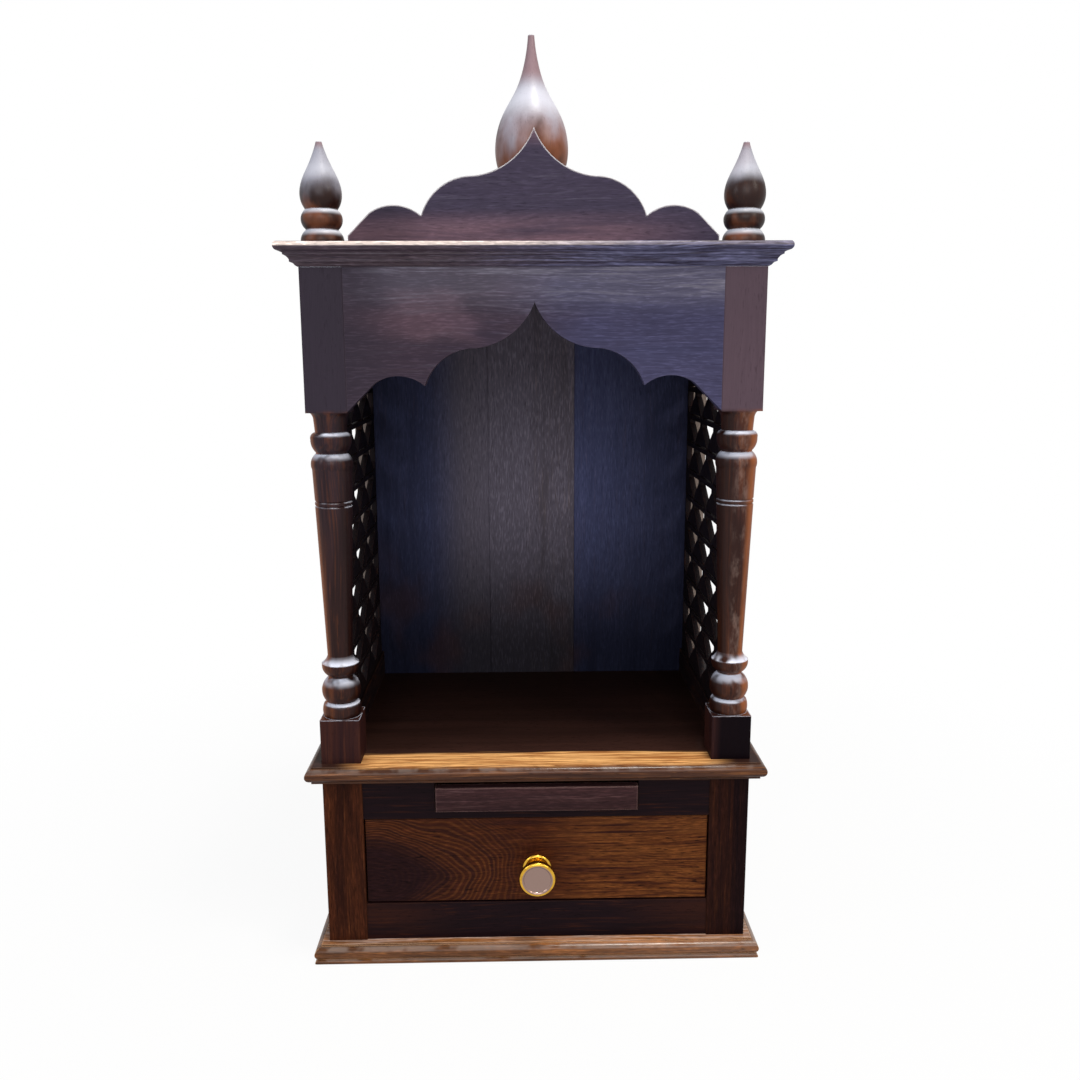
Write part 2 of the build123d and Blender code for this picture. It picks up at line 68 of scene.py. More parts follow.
# Upward share of a face's direction: not yet upward to upward, and level to not level
UPWARD = (0.25, 0.85)
NOT_LEVEL = (0.995, 0.95)

# Clouds and spots that don't follow the grain: how many to the metre on each axis
CLOUD = (14, 14, 26)
SMUDGE = (16, 16, 11)
SHINE = (70, 70, 70)
WORN_SPOTS = (120, 120, 45)
FINIAL_CLOUD = (38, 38, 24)
LATHE_MARKS = (260, 260, 260)

# How fast the turning lines of the brass follow each other
LATHE_RATE = 16000

# Half the side of the floor and the distances over which its shadow fades to white, in
# metres, and how white the floor is under the temple
FLOOR_HALF = 6
SHADOW_FADE = (0.25, 0.9)
SHADOW_WHITE = 0.93

# Width of the picture frame in mm, and the upward direction
FRAME_WIDTH = 36
UP = Vector((0, 0, 1))


def chip(code):
    """Turn a colour chip such as #4A2C1A into the light values that are mixed."""
    shades = [int(code[i : i + 2], 16) / 255 for i in (1, 3, 5)]
    return tuple(
        s / 12.92 if s <= 0.04045 else ((s + 0.055) / 1.055) ** 2.4 for s in shades
    )


def colour(name, description, code):
    """A colour that a user can change, given as a chip."""
    return bpy.props.FloatVectorProperty(
        name=name, description=description, default=chip(code), subtype="COLOR", size=3,
        min=0, max=1,
    )


def length(name, description, default, low=0.0, high=1.0):
    """A length in metres that a user can change."""
    return bpy.props.FloatProperty(
        name=name, description=description, default=default, unit="LENGTH", min=low, max=high
    )


def share(name, description, default):
    """A share between none and all."""
    return bpy.props.FloatProperty(
        name=name, description=description, default=default, subtype="FACTOR", min=0, max=1
    )


def watts(name, description, default):
    """The power of a lamp."""
    return bpy.props.FloatProperty(
        name=name, description=description, default=default, unit="POWER", min=0
    )


class TempleWoods(bpy.types.PropertyGroup):
    """Colours of the stained woods, and of the light and reflections painted onto them."""

    post: colour("Post", "Middle brown of the posts and the lower blocks", "#432112")
    post_light: colour("Post light", "Paler streaks of the posts", "#6A3C20")
    post_dark: colour("Post dark", "Dark figure of the posts", "#160808")
    ebony: colour("Ebony", "Near black of the right post and lower block", "#080409")
    block: colour("Upper block", "Slate brown of the left upper block", "#332C36")
    block_warm: colour("Upper block warm", "Mauve brown of the right upper block", "#54444D")
    shaft: colour("Shaft", "Slate brown of the left turned shaft", "#2C2028")
    shaft_warm: colour("Shaft warm", "Brown of the right turned shaft", "#3E2420")
    # The orange brown on the outer side of the shafts is a painted rim light; the same colour also
    # tints streaks of the grain
    shaft_edge: colour("Shaft edge", "Orange brown on the outer side of the shafts", "#8C4F2A")
    fascia: colour("Fascia", "Slate brown of the arch board on the left", "#473A45")
    # The navy of the arch board on the right is a painted reflection of the sky
    fascia_sky_reflection: colour("Fascia cool", "Navy of the arch board on the right", "#464664")
    fascia_light: colour("Fascia light", "Grey brown streaks of the arch board", "#6C6876")
    fascia_dark: colour("Fascia dark", "Dark lines of the arch board", "#2A2536")
    # The navy purple of the crest is a painted reflection of the sky over its reddish brown wood
    crest: colour("Crest", "Navy purple of the crest", "#3C3546")
    crest_warm: colour("Crest warm", "Reddish brown along the foot of the crest", "#785C66")
    cornice: colour("Cornice", "Brown of the cornice on the left", "#44383F")
    # The navy of the cornice on the right is a painted reflection of the sky
    cornice_sky_reflection: colour("Cornice cool", "Navy of the cornice on the right", "#5E5E7C")
    # Cream here is a painted highlight: along the lip of the cornice, on the level top of the base
    # and in spots on the right shaft
    highlight_cream: colour("Cream", "Worn cream edge on top of the cornice", "#E0D0C8")
    moulding: colour("Moulding", "Brown of the base and shelf mouldings", "#4A2A1A")
    moulding_light: colour("Moulding light", "Golden mottles of the mouldings", "#A86C3A")
    shelf: colour("Shelf", "Dark brown of the shelf", "#3A241E")
    # The golden strip along the front of the shelf is painted light that falls in under the roof
    shelf_lit_gold: colour("Shelf gold", "Golden strip along the front of the shelf", "#F8BE7A")
    back: colour("Back boards", "Blue black of the outer back boards", "#4A4E70")
    back_light: colour("Back light", "Paler streaks of the outer back boards", "#5A4C58")
    back_dark: colour("Back dark", "Dark figure of the outer back boards", "#1C2038")
    back_centre: colour("Back centre", "Grey brown of the middle back board", "#625C69")
    centre_light: colour("Centre light", "Paler streaks of the middle back board", "#7E6E66")
    centre_dark: colour("Centre dark", "Dark figure of the middle back board", "#40383A")
    panel: colour("Side panels", "Dark brown of the pierced panels", "#1A1416")
    panel_dark: colour("Panel dark", "Dark figure of the pierced panels", "#0A080C")
    rail: colour("Rails", "Near black of the drawer rails", "#180B10")
    rail_dark: colour("Rail dark", "Dark figure of the drawer rails", "#0A0508")
    drawer: colour("Drawer front", "Warm brown of the drawer front", "#44200F")
    drawer_light: colour("Drawer light", "Golden streaks of the drawer front", "#744420")
    drawer_dark: colour("Drawer dark", "Dark heart of the drawer front", "#1C0D10")
    tray: colour("Tray front", "Purple brown of the tray front", "#372223")
    tray_light: colour("Tray light", "Paler streaks of the tray front", "#5E4444")
    tray_dark: colour("Tray dark", "Dark figure of the tray front", "#22141A")
    inner: colour("Inner wood", "Plain wood inside the box", "#6A4A30")
    inner_light: colour("Inner light", "Paler streaks of the inner wood", "#8A6A48")
    finial: colour("Finial", "Brown of the finials", "#26120E")
    finial_warm: colour("Finial warm", "Orange brown mottles of the finials", "#8E5438")
    # The pale blue white of the upper finials is a painted highlight and reflection of the sky
    finial_highlight: colour("Finial pale", "Pale lacquer of the upper finials", "#A6A6B4")
    finial_neck: colour("Finial neck", "Mauve brown neck of the middle finial", "#86686C")
    bare: colour("Bare wood", "Unstained strip outside the side panels", "#8E8078")
    brass: colour("Brass", "Yellow brass of the knob", "#D9A93E")
    brass_dark: colour("Brass dark", "Browner patches of the brass", "#8C5A1E")
    brass_face: colour("Knob face", "Pinkish grey of the polished face", "#967D74")


class TempleStage(bpy.types.PropertyGroup):
    """Camera, lamps and floor."""

    lens: length("Lens", "Focal length for a 36 mm frame", 33.4 * MM, 10 * MM, 0.2)
    eye: bpy.props.FloatVectorProperty(
        name="Eye", description="Where the camera stands", default=(-0.0130, -0.8846, 0.5046),
        subtype="TRANSLATION", unit="LENGTH", size=3,
    )
    turn: bpy.props.FloatProperty(
        name="Turn", description="Camera turned to the right", default=0.0213, unit="ROTATION"
    )
    dip: bpy.props.FloatProperty(
        name="Dip", description="Camera pointed downwards", default=0.1879, unit="ROTATION"
    )
    roll: bpy.props.FloatProperty(
        name="Roll", description="Camera rolled about its view", default=-0.0035, unit="ROTATION"
    )
    right_lamp: watts("Right lamp", "Warm lamp on the right", 6)
    left_lamp: watts("Left lamp", "Cool lamp on the left", 4)
    front_lamp: watts("Front lamp", "Soft lamp in front", 15)
    over_lamp: watts("Overhead lamp", "Lamp above the front edge of the roof", 30)
    sky: share("Sky", "Level of the soft light from all round", 0.3)


class Amount:
    """An output of a node that can stand in a sum."""

    def __init__(self, finish, socket):
        self.finish = finish
        self.socket = socket

    def __add__(self, other):
        return self.finish.maths("ADD", self, other)

    def __sub__(self, other):
        return self.finish.maths("SUBTRACT", self, other)

    def __rsub__(self, other):
        return self.finish.maths("SUBTRACT", other, self)

    def __mul__(self, other):
        return self.finish.maths("MULTIPLY", self, other)

    def __truediv__(self, other):
        return self.finish.maths("DIVIDE", self, other)

    def __abs__(self):
        return self.finish.maths("ABSOLUTE", self)

    __radd__ = __add__
    __rmul__ = __mul__


class Finish:
    """The nodes of one material, or of the world."""

    def __init__(self, owner):
        owner.use_nodes = True
        self.owner = owner
        self.tree = owner.node_tree
        self.tree.nodes.clear()

    def node(self, kind, settings=None, sockets=None, out=0):
        """Add a node: its settings first, then its socket values or links."""
        made = self.tree.nodes.new(kind)
        for key, value in (settings or {}).items():
            setattr(made, key, value)
        for key, value in (sockets or {}).items():
            if isinstance(value, Amount):
                self.tree.links.new(value.socket, made.inputs[key])
            else:
                made.inputs[key].default_value = value
        return Amount(self, made.outputs[out]) if len(made.outputs) else None

    def maths(self, operation, *values):
        """One step of arithmetic on numbers or links."""
        return self.node(
            "ShaderNodeMath", {"operation": operation}, dict(enumerate(values))
        )

    def vector(self, operation, sockets, out=0):
        """One step of arithmetic on vectors."""
        return self.node("ShaderNodeVectorMath", {"operation": operation}, sockets, out)

    def distance(self, across, up):
        """How far a point is from an axis, from its two distances."""
        return self.maths("SQRT", across * across + up * up)

    def mix(self, factor, first, second, blend="MIX"):
        """Mix two colours, each a tuple or a link."""
        tones = [t if isinstance(t, Amount) else (*t, 1) for t in (first, second)]
        return self.node(
            "ShaderNodeMix",
            {"data_type": "RGBA", "blend_type": blend, "clamp_factor": True},
            {0: factor, 6: tones[0], 7: tones[1]},
            out=2,
        )

    def shade(self, tone, factor):
        """Make a colour darker or lighter by a number that varies."""
        grey = self.node("ShaderNodeCombineXYZ", None, {0: factor, 1: factor, 2: factor})
        return self.mix(1.0, tone, grey, "MULTIPLY")

    def step(self, value, low, high, soft=True):
        """Go from none at low to all at high."""
        return self.node(
            "ShaderNodeMapRange",
            {"interpolation_type": "SMOOTHSTEP" if soft else "LINEAR", "clamp": True},
            {"Value": value, "From Min": low, "From Max": high},
        )

    def metres(self):
        """Object coordinates, which are metres in the shared frame."""
        return self.node("ShaderNodeTexCoord", out="Object")

    def noise(self, where, scale, detail=2.0, rough=0.5, bend=0.0, seed=(0.0, 0.0, 0.0)):
        """Soft noise, with scale in patches to the metre on each axis."""
        placed = self.node(
            "ShaderNodeMapping", None, {"Vector": where, "Location": seed, "Scale": scale}
        )
        return self.node(
            "ShaderNodeTexNoise",
            None,
            {"Vector": placed, "Scale": 1.0, "Detail": detail, "Roughness": rough,
             "Distortion": bend},
        )

    def split(self, where):
        """The three parts of a vector."""
        parts = self.node("ShaderNodeSeparateXYZ", None, {0: where})
        return [Amount(self, socket) for socket in parts.socket.node.outputs]

    def surface(self, shader):
        """Give the material its shader."""
        self.node("ShaderNodeOutputMaterial", None, {"Surface": shader})


def along(grain, across, lengthwise):
    """Scale of a pattern that is drawn out along the grain."""
    scale = [across] * 3
    scale[grain] = lengthwise
    return tuple(scale)


def wood(
    name, tones, grain, seed=0.0, streak=0.6, rings=0.35, pith=(0.0, 0.0, 0.0),
    pores=0.5, rough=0.5, specular=0.03, coat=0.05, gloss=0.25, glint_share=0.15, glint="#8A6048",
    figure=0.5, fleck=0.0, sheen=0.0, pale="#C8BCB4", patch=0.4, corner=1.2, zones=None,
):
    """A stained and lacquered wood, with its grain along one axis.

    tones are the middle, light and dark colours. The edge chip and pale are the colours of painted
    highlights along edges and on upper faces, and corner is the roundness of an edge in mm.
    zones changes the finish over the board: it gets the finish, the coordinates,
    the colour so far, the fine lines and the broad bands of the grain, and returns
    the colour and the share of lacquer.
    """
    (base, light, dark) = tones
    f = Finish(bpy.data.materials.new(name))
    flat = f.metres()
    offset = (seed, seed * 1.7, seed * 0.6)

    # Slow waves carry every line of the grain a little sideways
    drift = f.node(
        "ShaderNodeTexNoise", None,
        {"Vector": f.node("ShaderNodeMapping", None, {
            "Vector": flat, "Location": offset, "Scale": along(grain, *DRIFT)}),
         "Scale": 1.0, "Detail": 1.0},
        out="Color",
    )
    drift = f.vector("SUBTRACT", {0: drift, 1: (MIDDLE,) * 3})
    drift = f.vector("SCALE", {0: drift, "Scale": DRIFT_REACH})
    where = f.vector("ADD", {0: flat, 1: drift})
    axes = f.split(flat)

    bands = f.noise(where, along(grain, *BANDS), 4.0, 0.6, 0.3, offset)
    lines = f.noise(where, along(grain, *LINES), 3.0, 0.65, 0.0, offset)
    fibre = f.noise(where, along(grain, *FIBRE), 2.0, 0.6, 0.0, offset)
    specks = f.noise(where, along(grain, *SPECKS), 1.0, 0.5, 0.0, offset)

    # Growth rings round a pith that crosses the board at a slight angle
    tilt = [0.0, 0.0, 0.0]
    tilt[Z if grain == X else X] = PITH_TILT
    heart = f.node(
        "ShaderNodeMapping", None,
        {"Vector": where, "Location": tuple(-p for p in pith), "Rotation": tuple(tilt)},
    )
    parts = f.split(heart)
    (u, v) = [parts[i] for i in range(3) if i != grain]
    radius = f.distance(u, v)
    rounds = f.maths("SINE", radius * RING_RATE + bands * RING_SWAY)
    ring = f.step(rounds, *RING)

    softness = 1 / max(streak, 0.1)
    tone = f.mix(f.step(bands, 0.5 - 0.18 * softness, 0.62), dark, base)
    tone = f.mix(f.step(bands, 0.55, 0.55 + 0.2 * softness) * streak, tone, light)
    tone = f.mix(ring * rings, tone, dark)
    tone = f.mix(f.step(lines, *PALE_LINE) * figure, tone, light)
    tone = f.mix(f.step(lines, *DARK_LINE) * figure, tone, dark)
    if zones:
        (tone, coat) = zones(f, axes, tone, lines, bands)
    pore = f.step(specks, *PORE) * f.step(bands, *PORE_BAND)
    tone = f.shade(tone, 0.86 + fibre * 0.28)
    tone = f.mix(pore * pores, tone, tuple(d * 0.4 for d in dark))
    if fleck:
        tone = f.shade(tone, 1 + f.step(specks, *FLECK) * fleck)

    # Painted highlights along the edges, brighter where an edge faces up
    bent = f.node("ShaderNodeBevel", {"samples": 4}, {"Radius": corner * MM})
    true = f.node("ShaderNodeNewGeometry", out="Normal")
    bend = f.vector("DOT_PRODUCT", {0: bent, 1: true}, out="Value")
    rise = f.split(bent)[Z]
    edge = f.step(bend, 0.995, 0.85) * (0.3 + lines) * (0.5 + f.step(rise, 0.1, 0.5))
    tone = f.mix(edge * glint_share, tone, chip(glint))
    # Painted highlight: pale patches on faces that turn upwards, as light from above would give
    if sheen:
        upward = f.step(rise, *UPWARD) * f.step(rise, *NOT_LEVEL)
        patches = f.step(f.noise(flat, SHINE, 2.0), patch, patch + 0.22)
        tone = f.mix(upward * patches * sheen, tone, chip(pale))

    relief = lines * 0.6 + fibre * 0.4 - pore * 0.8
    bump = f.node(
        "ShaderNodeBump", None, {"Strength": 0.22, "Distance": 0.0004, "Height": relief}
    )
    f.surface(f.node("ShaderNodeBsdfPrincipled", None, {
        "Base Color": tone,
        "Roughness": rough + (lines - 0.5) * 0.16 + pore * 0.2,
        "Specular IOR Level": specular,
        "Coat Weight": coat,
        "Coat Roughness": gloss,
        "Normal": bump,
    }))
    return f.owner


def dress(names, material):
    """Give CAD nodes a material in place of their plain one."""
    for name in names:
        mesh = NODES[name]
        if not mesh.material_slots:
            mesh.data.materials.append(material)
        for place in mesh.material_slots:
            place.material = material


def both(name):
    """The left and the right node of a pair."""
    return [f"{name}_left", f"{name}_right"]


def woods():
    """The colours as the user has set them."""
    return bpy.context.scene.temple_woods


def brown(w):
    """The middle, light and dark brown that most of the wood shares."""
    return (w.post, w.post_light, w.post_dark)


class TEMPLE_OT_columns(bpy.types.Operator):
    """Finish the two front columns: blocks, turned shafts and rings"""

    bl_idname = "temple.columns"
    bl_label = "Columns"

    def execute(self, context):
        w = woods()
        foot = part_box("column_front_left")[0][2]
        (lower_block, turned_length) = (37 * MM, 246.5 * MM)
        turned_foot = foot + lower_block
        turned_head = turned_foot + turned_length
        slate_rise = (turned_foot + 30 * MM, turned_head - 20 * MM)
        (low, high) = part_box("column_front_right")
        ebony_side = (high[0] - 34 * MM, high[0] - 24 * MM)
        (middle_x, middle_y) = ((low[0] + high[0]) / 2, (low[1] + high[1]) / 2)
        at_axis = 1e-8

        def zones(f, axes, tone, lines, bands):
            right = f.step(axes[X], -10 * MM, 10 * MM)
            side = abs(axes[X])
            figure = f.step(bands, 0.4, 0.66)
            # From -1 at the inner side of a shaft to 1 at its outer side
            (out, back) = (side - middle_x, axes[Y] - middle_y)
            facing = out / f.maths("SQRT", out * out + back * back + at_axis)

            # Turned part: slate towards the head, redder towards the foot
            head = f.step(axes[Z], *slate_rise)
            shaft = f.mix(right, w.shaft, w.shaft_warm)
            red = f.mix(0.35, w.post, w.post_dark)
            shaft = f.mix(0.75 - head * 0.6, shaft, red)
            rusty = f.mix(0.5, w.post, w.shaft_edge)
            light_band = f.step(bands, MIDDLE, 0.62) * 0.5
            shaft = f.mix(light_band, shaft, rusty)
            dark_band = f.step(bands, MIDDLE, 0.4) * 0.5
            shaft = f.mix(dark_band, shaft, w.post_dark)
            light_line = f.step(lines, MIDDLE, 0.7) * 0.25
            shaft = f.mix(light_line, shaft, rusty)
            dark_line = f.step(lines, MIDDLE, 0.3) * 0.35
            shaft = f.mix(dark_line, shaft, w.post_dark)

            # Painted light: an orange rim light on the outer edge, painted shade on the inner
            # side, and painted highlight spots on the right shaft
            edge = f.step(facing + right * 0.25, 0.6, 0.95) * (f.step(bands, 0.3, 0.55) + 0.4)
            shaft = f.mix(edge * 0.7, shaft, w.shaft_edge)
            inner_shade = f.step(facing, -0.3, -0.8) * 0.65
            shaft = f.mix(inner_shade, shaft, w.post_dark)
            glint = right * f.step(facing, -0.5, 0.0) * f.step(facing, 0.7, 0.3)
            spots = f.noise(f.metres(), WORN_SPOTS, 4.0, 0.7)
            glint = glint * f.step(spots, 0.42, 0.72)
            shaft = f.mix(glint * 0.25, shaft, f.mix(0.45, w.shaft_edge, w.highlight_cream))

            upper = f.mix(right, w.block, w.block_warm)
            upper = f.mix(figure * 0.3, upper, f.shade(upper, 0.6 + lines * 0.8))
            ebony = right * f.step(side, *ebony_side)
            lower = f.mix(0.4, tone, w.shaft)
            lower = f.mix(ebony * 0.95, lower, w.ebony)

            above = f.step(axes[Z], turned_foot - 1 * MM, turned_foot + 1 * MM)
            over = f.step(axes[Z], turned_head - 2 * MM, turned_head + 3 * MM)
            tone = f.mix(over, f.mix(above, lower, shaft), upper)
            lacquer = above * (0.2 - over * 0.16) + 0.02
            return (tone, lacquer)

        # The sheen paints pale blue highlights on the upper faces of the rings
        finish = wood(
            "column_wood", brown(w), Z, seed=0.31, rings=0.3, pith=(0.12, 0.0, 0.0), gloss=0.28,
            glint_share=0.06, pores=0.2, sheen=1.0, pale="#DCE0F0", patch=0.34, zones=zones,
        )
        dress(both("column_front"), finish)
        return {"FINISHED"}


class TEMPLE_OT_posts(bpy.types.Operator):
    """Finish the four posts of the lower box"""

    bl_idname = "temple.posts"
    bl_label = "Posts"

    def execute(self, context):
        w = woods()
        (low, high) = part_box("box_post_front_right")
        edge = high[0] - 13 * MM

        def zones(f, axes, tone, lines, bands):
            """Ebony on the outer part of the right post, and a little towards its top."""
            ebony = f.step(axes[X], edge - 3 * MM, edge + 2 * MM) * 0.85
            top = f.step(axes[Z], low[2] + 30 * MM, high[2]) * f.step(axes[X], 0, edge) * 0.5
            right = f.step(axes[X], -10 * MM, 10 * MM) * 0.6
            dark = f.maths("MAXIMUM", ebony, f.maths("MAXIMUM", top, right))
            return (f.mix(dark, tone, w.ebony), 0.01)

        finish = wood(
            "post_wood", brown(w), Z,
            seed=0.9, rings=0.35, pith=(-0.2, 0.02, 0.0), fleck=0.5, zones=zones,
        )
        dress(both("box_post_front") + both("box_post_back"), finish)
        return {"FINISHED"}


class TEMPLE_OT_arch(bpy.types.Operator):
    """Finish the cusped arch board and the crest"""

    bl_idname = "temple.arch"
    bl_label = "Arch and crest"

    def execute(self, context):
        w = woods()
        (low, high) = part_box("arch_fascia")

        def arch_zones(f, axes, tone, lines, bands):
            """Navy painted reflection of the sky on the right, clouds of red on the left and pale
            streaks along the top.
            """
            cloud = f.noise(f.metres(), CLOUD, 2.0)
            cloud_reach = 160 * MM
            # Painted sky reflection over the right of the board, with a clouded border
            cool = f.step(axes[X] + (cloud - MIDDLE) * cloud_reach, -50 * MM, 60 * MM)
            navy = f.shade(w.fascia_sky_reflection, 0.36 + lines * 1.02)
            tone = f.mix(cool * 0.8, f.shade(tone, 0.78), navy)
            red = f.step(cloud, 0.5, 0.68) * (1 - cool)
            tone = f.mix(red * 0.3, tone, w.crest_warm)
            upper = f.step(axes[Z], high[2] - 40 * MM, high[2] - 10 * MM)
            tone = f.mix(upper * 0.35, tone, w.fascia_light)
            pale = upper * f.step(bands, 0.4, 0.6) * f.step(lines, 0.42, 0.62)
            tone = f.mix(pale * 0.85, tone, w.fascia_light)
            end = f.step(axes[X], low[0] + 50 * MM, low[0] + 4 * MM)
            tone = f.mix(end * 0.8, tone, w.block)
            lacquer = 0.03 + pale * 0.15
            return (tone, lacquer)

        fascia = wood(
            "fascia_wood", (w.fascia, w.fascia_light, w.fascia_dark), X,
            seed=0.2, rings=0.15, streak=0.3, pith=(0.0, low[1], high[2] - 0.05), gloss=0.35,
            glint="#8A7A80", figure=0.25, pores=0.15, fleck=0.35, zones=arch_zones,
        )
        dress(["arch_fascia"], fascia)
        (crest_low, crest_high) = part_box("crest_board")

        def crest_zones(f, axes, tone, lines, bands):
            """Redder along the foot and at the tip, and darker on the left lobe."""
            foot = f.step(axes[Z], crest_low[2] + 26 * MM, crest_low[2] + 6 * MM)
            foot = foot * f.step(axes[X], 150 * MM, 20 * MM)
            tone = f.mix(foot * f.step(bands, 0.25, 0.55) * 0.8, tone, w.crest_warm)
            tip = f.step(axes[Z], crest_high[2] - 16 * MM, crest_high[2] - 2 * MM)
            left = f.step(axes[X], -70 * MM, -110 * MM)
            tone = f.mix(tip * 0.5, tone, w.crest_warm)
            return (f.shade(tone, 1 - left * 0.35), 0.04)

        # The near white chip along its edges is a strong painted highlight
        crest = wood(
            "crest_wood", (w.crest, w.fascia_light, w.fascia_dark), X,
            seed=0.55, rings=0.1, pith=(0.0, 0.1, 0.9), streak=0.2, gloss=0.3,
            glint="#F0EAEC", glint_share=1.0, corner=2.0, figure=0.2, pores=0.3, fleck=0.25,
            zones=crest_zones,
        )
        dress(["crest_board"], crest)
        return {"FINISHED"}


class TEMPLE_OT_mouldings(bpy.types.Operator):
    """Finish the cornice, the shelf and the base board"""

    bl_idname = "temple.mouldings"
    bl_label = "Mouldings"

    def execute(self, context):
        w = woods()
        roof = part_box("cornice_board")[1][2]

        def cornice_zones(f, axes, tone, lines, bands):
            """Navy painted reflection of the sky on the right, and a pale painted highlight along
            the lip that is brighter on the left.
            """
            tone = f.mix(f.step(axes[X], -100 * MM, 100 * MM), tone, f.mix(
                f.step(lines, 0.35, 0.65), w.cornice_sky_reflection, w.fascia_dark))
            # Painted highlight along the top of the lip, brighter on the left
            lip = f.step(axes[Z], roof - 3.7 * MM, roof - 2.6 * MM)
            lip = lip * f.step(axes[Z], roof - 0.1 * MM, roof - 0.4 * MM)
            lit = f.step(axes[X], 120 * MM, -120 * MM) * 0.8 + 0.1
            return (f.mix(lip * lit, tone, w.highlight_cream), 0.16)

        cornice = wood(
            "cornice_wood", (w.cornice, w.fascia_light, w.fascia_dark), X,
            seed=1.4, rings=0.15, streak=0.3, gloss=0.25, glint="#A08C88", fleck=0.6,
            zones=cornice_zones,
        )
        dress(["cornice_board"], cornice)
        shelf_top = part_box("shelf_board")[1][2]
        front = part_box("column_front_left")[0][1]

        def shelf_zones(f, axes, tone, lines, bands):
            """A painted strip of golden light along the front of a floor, and painted shade that
            darkens it to the back.
            """
            level = f.step(axes[Z], shelf_top - 2 * MM, shelf_top - 0.5 * MM)
            # Painted light: the golden strip where light falls in under the front of the roof
            ragged = (bands - MIDDLE) * 0.05
            strip = f.step(axes[Y] + ragged, front + 23 * MM, front + 13 * MM)
            strip = strip * f.step(abs(axes[X]), 165 * MM, 130 * MM)
            gold = f.mix(f.step(lines, 0.4, 0.62), w.moulding_light, w.shelf_lit_gold)
            # Painted shade: the floor darkens towards the back
            deep = f.step(axes[Y], 120 * MM, front) * (0.45 + f.step(bands, 0.35, 0.7) * 0.55)
            floor = f.shade(w.shelf, deep * 0.75 + 0.25)
            inside = f.mix(strip, floor, gold)
            tone = f.mix(level, tone, inside)
            lacquer = 0.28 - level * 0.2
            return (tone, lacquer)

        shelf = wood(
            "shelf_wood", (w.moulding, w.moulding_light, w.post_dark), X,
            seed=2.1, rings=0.25, pith=(0.0, 0.0, -0.2), gloss=0.15, glint="#C08A60",
            sheen=0.15, zones=shelf_zones,
        )
        dress(["shelf_board"], shelf)
        base_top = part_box("base_board")[1][2]

        def base_zones(f, axes, tone, lines, bands):
            """Golden mottles, a painted pale sheen on the level top, and glossier to the right."""
            tone = f.mix(0.2, tone, w.moulding_light)
            tone = f.mix(f.step(bands, 0.52, 0.4) * 0.5, tone, w.post_dark)
            level = f.step(axes[Z], base_top - 1.5 * MM, base_top - 0.5 * MM)
            # Painted highlight: a pale sheen on the level top
            pale = f.mix(f.step(lines, 0.42, 0.64) * 0.8, w.moulding_light, w.highlight_cream)
            tone = f.mix(level * f.step(bands, 0.32, 0.6) * 0.56, tone, pale)
            lacquer = 0.3 + f.step(axes[X], 0.0, 160 * MM) * 0.4
            return (tone, lacquer)

        # Strong painted highlights along the edges and on the upper faces of the mouldings
        base = wood(
            "base_wood", (w.moulding, w.moulding_light, w.post_dark), X,
            seed=3.3, rings=0.2, streak=0.9, gloss=0.2, glint="#D8A878", glint_share=0.8, fleck=0.5,
            sheen=0.35, pale="#A8988E", patch=0.3, zones=base_zones,
        )
        dress(["base_board"], base)
        return {"FINISHED"}


class TEMPLE_OT_box(bpy.types.Operator):
    """Finish the rails, the side and back boards of the box and the wood inside it"""

    bl_idname = "temple.box"
    bl_label = "Box"

    def execute(self, context):
        w = woods()
        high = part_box("drawer_rail_bottom")[1]

        def rail_zones(f, axes, tone, lines, bands):
            """Warmer towards the ends of the lower rail."""
            ends = f.step(abs(axes[X]), 50 * MM, high[0])
            warm = ends * f.step(axes[Z], high[2] + 5 * MM, high[2] - 5 * MM)
            warm = warm * f.step(bands, 0.35, 0.6) * 0.4
            return (f.mix(warm, tone, w.post), 0.03)

        rails = wood(
            "rail_wood", (w.rail, w.post, w.rail_dark), X,
            seed=0.7, rings=0.2, streak=0.2, specular=0.04, glint_share=0.1, zones=rail_zones,
        )
        dress(["drawer_rail_bottom", "drawer_rail_top"], rails)
        sides = wood(
            "box_board_wood", brown(w), Y, seed=1.9, rings=0.4, pith=(0.0, 0.0, 0.1),
        )
        dress(both("box_side"), sides)
        back = wood(
            "box_back_wood", brown(w), X, seed=2.6, rings=0.4, pith=(0.0, 0.1, 0.1),
        )
        dress(["box_back"], back)
        inner = wood(
            "inner_wood", (w.inner, w.inner_light, w.post), Y,
            seed=2.2, rings=0.3, pith=(0.1, 0.0, 0.0), rough=0.6, coat=0.0,
        )
        dress(both("drawer_runner") + both("tray_guide"), inner)
        return {"FINISHED"}


